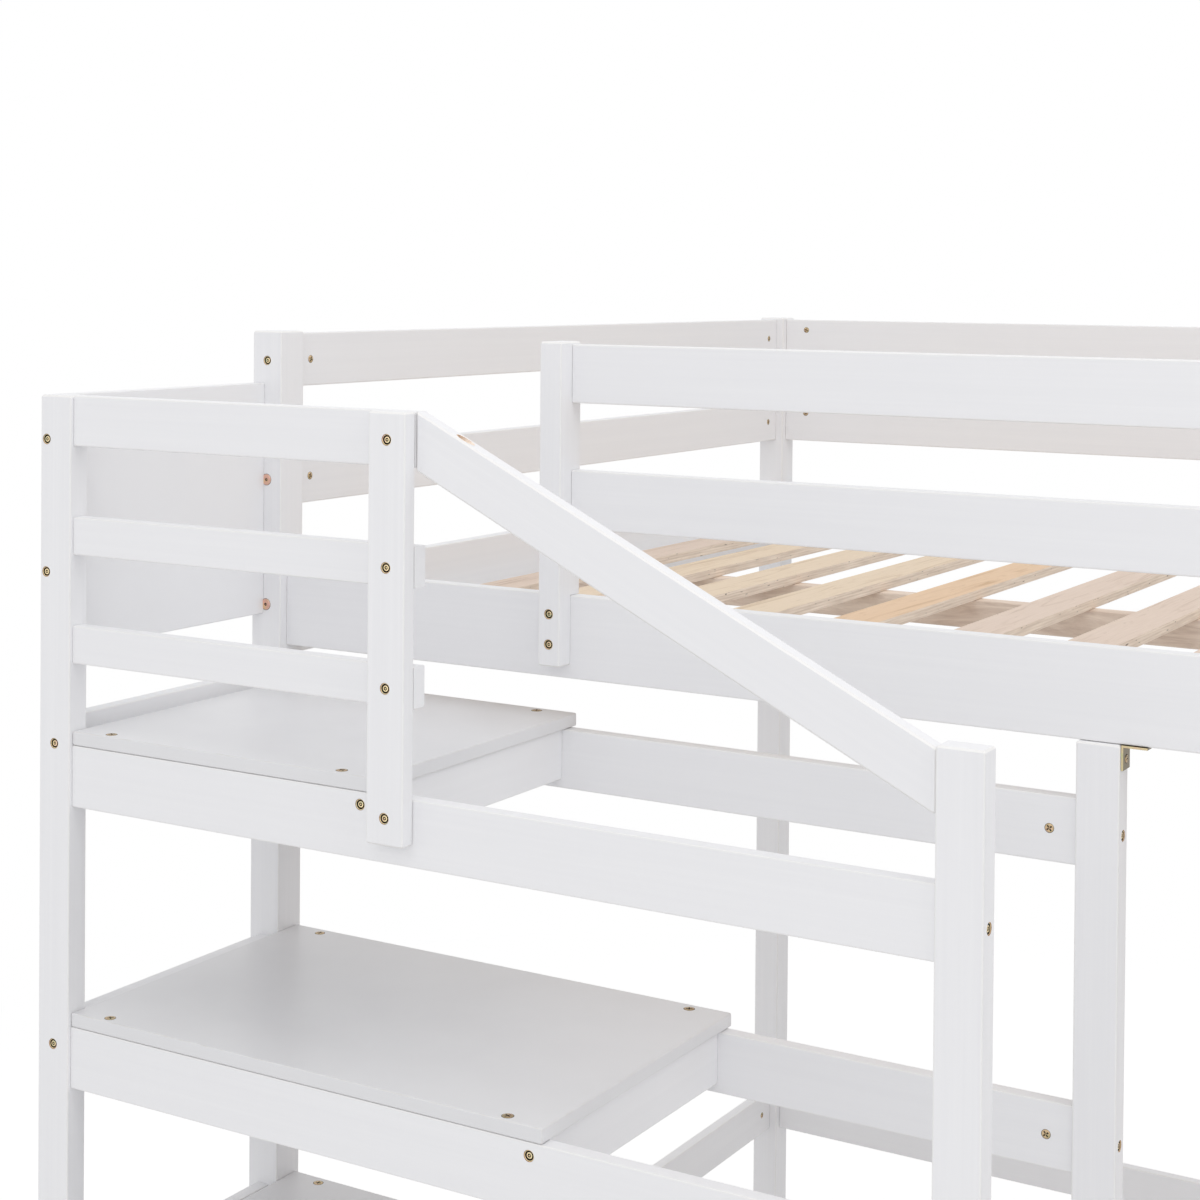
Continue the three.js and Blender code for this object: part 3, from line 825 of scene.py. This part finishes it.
# %% [markdown]
# ## Barrel nuts
# Each long bolt ends in a barrel nut, a short round bar let into the rail from its inner face. Only its
# end shows, with a cross to turn it until its thread meets the bolt.

# %% Work out the barrel nuts' places
NUT_FROM_END = 30 * MM
NUT_FROM_LONG_END = 38 * MM  # in the rails that run the length of the bed
NUT_FROM_STEP_END = 27 * MM

nut_places = {}


def near_ends(node, axis, from_low, from_high=None):
    """The two places on an axis that lie so far in from the piece's ends."""
    from_high = from_low if from_high is None else from_high
    return low(node, axis) + from_low, high(node, axis) - from_high


def nut(node, face, first, height):
    nut_places.setdefault(node, []).append((on_face(node, face, first, height), face))


for end, inward in (("left", "+x"), ("right", "-x")):
    rises = {
        f"guard_rail_{end}_top": 0,
        f"guard_rail_{end}_low": 0,
        f"end_rail_{end}": END_RAIL_RISE,
        f"low_rail_{end}": 0,
    }
    for rail, rise in rises.items():
        for first in near_ends(rail, "y", NUT_FROM_END):
            nut(rail, inward, first, middle(rail, "z") + rise)
print("barrel nuts in the rails across the bed:", sum(len(places) for places in nut_places.values()))

# %% [markdown]
# ## Nuts in the long rails
# The rails along the bed and the rails of the steps have their nuts too. Those along the bed sit as high
# as their bolts do, above the rail's middle.

# %% Work out the nuts' places in the long rails
back_rises = {
    "guard_rail_back_top": BOLT_RISE,
    "guard_rail_back_low": BOLT_RISE,
    "side_rail_back": SIDE_RAIL_SPREAD,
    "low_rail_back": BOLT_RISE,
}
for rail, rise in back_rises.items():
    for first in near_ends(rail, "x", NUT_FROM_LONG_END):
        nut(rail, "-y", first, middle(rail, "z") + rise)
for first in near_ends("side_rail_front", "x", NUT_FROM_LONG_END):
    nut("side_rail_front", "+y", first, middle("side_rail_front", "z") + SIDE_RAIL_SPREAD)
for level in LEVELS:
    rail = f"guard_rail_front_{level}"
    nut(rail, "+y", high(rail, "x") - NUT_FROM_LONG_END, middle(rail, "z") + BOLT_RISE)
    nut(rail, "+y", low(rail, "x") + NUT_FROM_STEP_END, middle(rail, "z"))
for step in STEPS:
    for side, face in (("front", "+y"), ("back", "-y")):
        rail = f"step_rail_{side}_{step}"
        for first in near_ends(rail, "x", NUT_FROM_STEP_END):
            nut(rail, face, first, middle(rail, "z"))
for level in LANDING_LEVELS:
    rail = f"landing_rail_{level}"
    nut(rail, "+y", low(rail, "x") + NUT_FROM_STEP_END, middle(rail, "z"))
print("barrel nuts to place:", sum(len(places) for places in nut_places.values()))

# %% [markdown]
# ## The nuts' ends
# The end of a nut stands a little out of a gap round it, and a near-black ring in that gap is painted
# shade. The cross is cut into it with a short wall, so that it stays sharp from close by, and it is painted
# near black as shade too.

# %% Set the barrel nuts
NUT_TURN = 1.1
BARREL_NUT = [
    ("round", 4.9, -0.2, PAINTED_SHADE),
    ("round", 4.9, 0.04, PAINTED_SHADE),
    ("round", 4.5, 0.04, PLATE),
    ("round", 4.3, 0.4, PLATE),
    ("round", 4.0, 0.55, PLATE),
    ("cross", 3.3, 0.5, PAINTED_SHADE),
    ("cross", 3.1, 0.06, PAINTED_SHADE),
    ("round", 0.9, 0.06, PLATE),
    ("round", 0.7, 0.4, PLATE),
]
for node, places in nut_places.items():
    fasteners("barrel_nuts_" + node, BARREL_NUT, places, [brown, recess_painted_shade], turn=NUT_TURN)
print("barrel nuts in", len(nut_places), "rails")

# %% [markdown]
# ## Screws in the boards
# Four screws hold each board down on its rails. Their heads lie almost level with the paint, each in a thin
# gap painted near black as shade, and their crosses are painted as shade too. Their plate is darker than
# the bolts': painted shade for the dark room that their upward heads mirror.

# %% Drive the board screws
SCREW_FROM_LEFT = 47 * MM
SCREW_FROM_RIGHT = 45 * MM
SCREW_FROM_FRONT = 10.5 * MM
SCREW_FROM_BACK = 13.8 * MM
SCREW_TURN = 0.9
SCREW_HEAD = [
    ("round", 6.3, -0.2, PAINTED_SHADE),
    ("round", 6.3, 0.04, PAINTED_SHADE),
    ("round", 5.75, 0.04, PLATE),
    ("round", 5.7, 0.25, PLATE),
    ("round", 5.2, 0.4, PLATE),
    ("cross", 3.5, 0.35, PAINTED_SHADE),
    ("cross", 3.3, 0.05, PAINTED_SHADE),
    ("round", 0.5, 0.05, PAINTED_SHADE),
]
for step in STEPS:
    board = f"step_board_{step}"
    places = [
        ((x, y, high(board, "z")), "+z")
        for x in near_ends(board, "x", SCREW_FROM_LEFT, SCREW_FROM_RIGHT)
        for y in near_ends(board, "y", SCREW_FROM_FRONT, SCREW_FROM_BACK)
    ]
    fasteners("screws_" + board, SCREW_HEAD, places, [dull, recess_painted_shade], turn=SCREW_TURN)
print("board screws driven")

# %% [markdown]
# ## The bracket's screw and the handrail's pocket
# One screw holds the bracket to the back foot post. The screw at the handrail's head sits in a pocket that
# is bored along the bed, so its mouth is a long pointed oval on the sloping top edge. The boring cut
# through the paint, and its wall is bare wood. A thin lining shows that wood, painted much lighter than
# bare wood as painted light against the shade inside the pocket.

# %% Drive the bracket's screw
BRACKET_THICK = 2.2 * MM
BRACKET_SCREW_DROP = 14.7 * MM
BRACKET_SCREW = [
    ("round", 4.6, -0.1, PAINTED_SHADE),
    ("round", 4.6, 0.04, PAINTED_SHADE),
    ("round", 3.9, 0.04, PLATE),
    ("round", 3.7, 0.5, PLATE),
    ("round", 2.6, 0.7, PLATE),
    ("cross", 2.6, 0.65, PAINTED_SHADE),
    ("cross", 2.4, 0.1, PAINTED_SHADE),
    ("round", 0.3, 0.1, PAINTED_SHADE),
]
leg_face = low("corner_bracket", "x") + BRACKET_THICK
screw_height = high("corner_bracket", "z") - BRACKET_SCREW_DROP
bracket_screw = ((leg_face, middle("corner_bracket", "y"), screw_height), "+x")
fasteners("screw_corner_bracket", BRACKET_SCREW, [bracket_screw], [dull, recess_painted_shade])
print("bracket screw at", [round(v, 3) for v in bracket_screw[0]])

# %% Line the pocket
POCKET_START = 37.0  # from the handrail's head to the pocket's closed end, in millimetres
POCKET_DROP = 25.5  # from the rail's top corner down to the pocket's axis
POCKET_RADIUS, POCKET_BOTTOM = 4.93, 0.1
LINING_RADIUS, LINING_BOTTOM = 4.75, 0.4
MOUTH_MARGIN = 0.1  # the lining ends this far inside the mouth
LIGHTENED = 0


def mouth(angle, radius):
    """How far the pocket's wall runs before it comes out of the sloping edge."""
    drop = POCKET_DROP + radius * math.cos(angle)
    return drop / math.tan(slope) - POCKET_START - MOUTH_MARGIN


POCKET_LINING = [
    ("round", POCKET_RADIUS, POCKET_BOTTOM, LIGHTENED),
    ("round", POCKET_RADIUS, mouth, LIGHTENED),
    ("round", LINING_RADIUS, mouth, LIGHTENED),
    ("round", LINING_RADIUS, LINING_BOTTOM, LIGHTENED),
]
pocket_end = (
    rail_low.x + POCKET_START * MM,
    middle("handrail", "y"),
    rail_high.z - POCKET_DROP * MM,
)
fasteners("handrail_pocket_lining", POCKET_LINING, [(pocket_end, "+x")], [pocket_wood_painted_light])
print("pocket bored from", [round(v, 3) for v in pocket_end])

# %% [markdown]
# ## Light
# Most of the light comes from the pale room itself, so shadows are faint. Soft boxes near the camera, high
# in front, high at the right, at the left and overhead model the timber gently.

# %% Hang the soft boxes
def soft_box(name, place, target, size, power):
    lamp = bpy.data.lights.new(name, "AREA")
    lamp.shape = "SQUARE"
    lamp.size = size
    lamp.energy = power
    holder = bpy.data.objects.new(name, lamp)
    holder.location = place
    holder.rotation_euler = (Vector(target) - Vector(place)).to_track_quat("-Z", "Y").to_euler()
    bpy.context.scene.collection.objects.link(holder)


SOFT_BOXES = {  # place, target, size in metres and power in watts
    "near_soft_box": ((1.3, -4.8, 2.0), (0, 0, 1.0), 4.0, 34),
    "high_front_soft_box": ((-0.5, -3.2, 3.9), (-0.3, 0, 1.2), 2.4, 12),
    "high_right_soft_box": ((3.2, -1.2, 3.6), (0, 0, 1.2), 2.4, 30),
    "left_soft_box": ((-3.6, -3.6, 1.8), (0, 0, 1.0), 3.6, 14),
    "overhead_soft_box": ((0, 0.2, 4.6), (0, 0.2, 0), 5.0, 40),
}
for name, settings in SOFT_BOXES.items():
    soft_box(name, *settings)

# %% [markdown]
# ## The room
# The room lights the bed with a plain grey. The eye, reflections and glass see it white instead, so the
# background is white without any more light on the bed.

# %% Light the room
ROOM_GREY = 0.625
ROOM_BLUE = 1.01  # its blue is a touch stronger than its red and green
WHITE = (1, 1, 1, 1)


def white_where_seen(tree, plain, seen):
    """Joins two shaders so that the eye, reflections and glass get the second."""
    rays = tree.nodes.new("ShaderNodeLightPath").outputs
    most = None
    for kind in ("Is Camera Ray", "Is Glossy Ray", "Is Transmission Ray"):
        if most is None:
            most = rays[kind]
            continue
        either = tree.nodes.new("ShaderNodeMath")
        either.operation = "MAXIMUM"
        tree.links.new(most, either.inputs[0])
        tree.links.new(rays[kind], either.inputs[1])
        most = either.outputs[0]
    mix = tree.nodes.new("ShaderNodeMixShader")
    tree.links.new(most, mix.inputs[0])
    tree.links.new(plain, mix.inputs[1])
    tree.links.new(seen, mix.inputs[2])
    return mix.outputs[0]


world = bpy.data.worlds.new("room")
bpy.context.scene.world = world
world.use_nodes = True
room = world.node_tree
plain = room.nodes["Background"]
plain.inputs["Color"].default_value = (ROOM_GREY, ROOM_GREY, ROOM_GREY * ROOM_BLUE, 1)
seen = room.nodes.new("ShaderNodeBackground")
seen.inputs["Color"].default_value = WHITE
room.links.new(
    white_where_seen(room, plain.outputs[0], seen.outputs[0]),
    room.nodes["World Output"].inputs[0],
)
print("room grey:", ROOM_GREY)

# %% [markdown]
# ## Floor
# The floor is a wide pale sheet. Near the bed it is matt and takes the bed's shadow; further off it
# passes into plain white, so that it has no horizon.

# %% Lay the floor
FLOOR_REACH = 30.0
SHADOW_REACH = 3.2
FLOOR_DROP = 0.5 * MM  # keeps the floor clear of the feet
FLOOR_GREY = (0.8, 0.8, 0.8, 1)
FLOOR_GLOW = 0.42  # how far the matt floor is lifted towards white


def lay_floor():
    data = bpy.data.meshes.new("floor")
    corners = [(x * FLOOR_REACH, y * FLOOR_REACH, 0) for x, y in ((-1, -1), (1, -1), (1, 1), (-1, 1))]
    data.from_pydata(corners, [], [(0, 1, 2, 3)])
    floor = bpy.data.objects.new("floor", data)
    floor.location.z = -FLOOR_DROP
    bpy.context.scene.collection.objects.link(floor)
    recipe = Recipe("pale_floor")
    tree = recipe.tree
    away = recipe.add("ShaderNodeVectorMath", {0: recipe.place()}, operation="LENGTH").outputs["Value"]
    fade = {"Value": away, "From Min": SHADOW_REACH / 2, "From Max": SHADOW_REACH}
    far = recipe.add("ShaderNodeMapRange", fade, interpolation_type="SMOOTHSTEP").outputs[0]
    matt = recipe.add("ShaderNodeBsdfDiffuse", {"Color": FLOOR_GREY}).outputs[0]
    glow = recipe.add("ShaderNodeEmission", {"Color": WHITE, "Strength": FLOOR_GLOW}).outputs[0]
    near = recipe.add("ShaderNodeAddShader", {0: matt, 1: glow}).outputs[0]
    white = recipe.add("ShaderNodeEmission", {"Color": WHITE, "Strength": 1.0}).outputs[0]
    shown = recipe.add("ShaderNodeMixShader", {0: far, 1: near, 2: white}).outputs[0]
    tree.links.new(white_where_seen(tree, matt, shown), tree.nodes["Material Output"].inputs[0])
    data.materials.append(recipe.material)


lay_floor()
print("floor laid, with shadows up to", SHADOW_REACH, "m out")

# %% [markdown]
# ## Camera
# The photograph was taken from the front right, at the height of the guard rails, with a long lens. The
# camera is almost level, and its shift brings the lower part of the bed into the frame.

# %% Set up the camera
CAMERA_PLACE = (0.73186, -2.64843, 1.71527)
CAMERA_TURN = math.radians(31.906)
CAMERA_TIP = math.radians(0.8073)
CAMERA_ROLL = math.radians(0.4379)
SENSOR_WIDTH = 36
LENS_LENGTH = 66.19
LENS_SHIFT = (0.0533, -0.2426)


def set_up_camera():
    lens = bpy.data.cameras.new("camera")
    lens.sensor_width = SENSOR_WIDTH
    lens.lens = LENS_LENGTH
    lens.shift_x, lens.shift_y = LENS_SHIFT
    camera = bpy.data.objects.new("camera", lens)
    forward = Vector((
        -math.sin(CAMERA_TURN) * math.cos(CAMERA_TIP),
        math.cos(CAMERA_TURN) * math.cos(CAMERA_TIP),
        -math.sin(CAMERA_TIP),
    ))
    level = Vector((math.cos(CAMERA_TURN), math.sin(CAMERA_TURN), 0))
    upright = level.cross(forward)
    right = level * math.cos(CAMERA_ROLL) + upright * math.sin(CAMERA_ROLL)
    up = right.cross(forward)
    turn = Matrix((right, up, -forward)).transposed()
    camera.matrix_world = Matrix.Translation(CAMERA_PLACE) @ turn.to_4x4()
    bpy.context.scene.collection.objects.link(camera)
    bpy.context.scene.camera = camera


set_up_camera()
bpy.context.scene.view_settings.view_transform = "Standard"
print("camera set up with a lens of", LENS_LENGTH, "mm")

# %% [markdown]
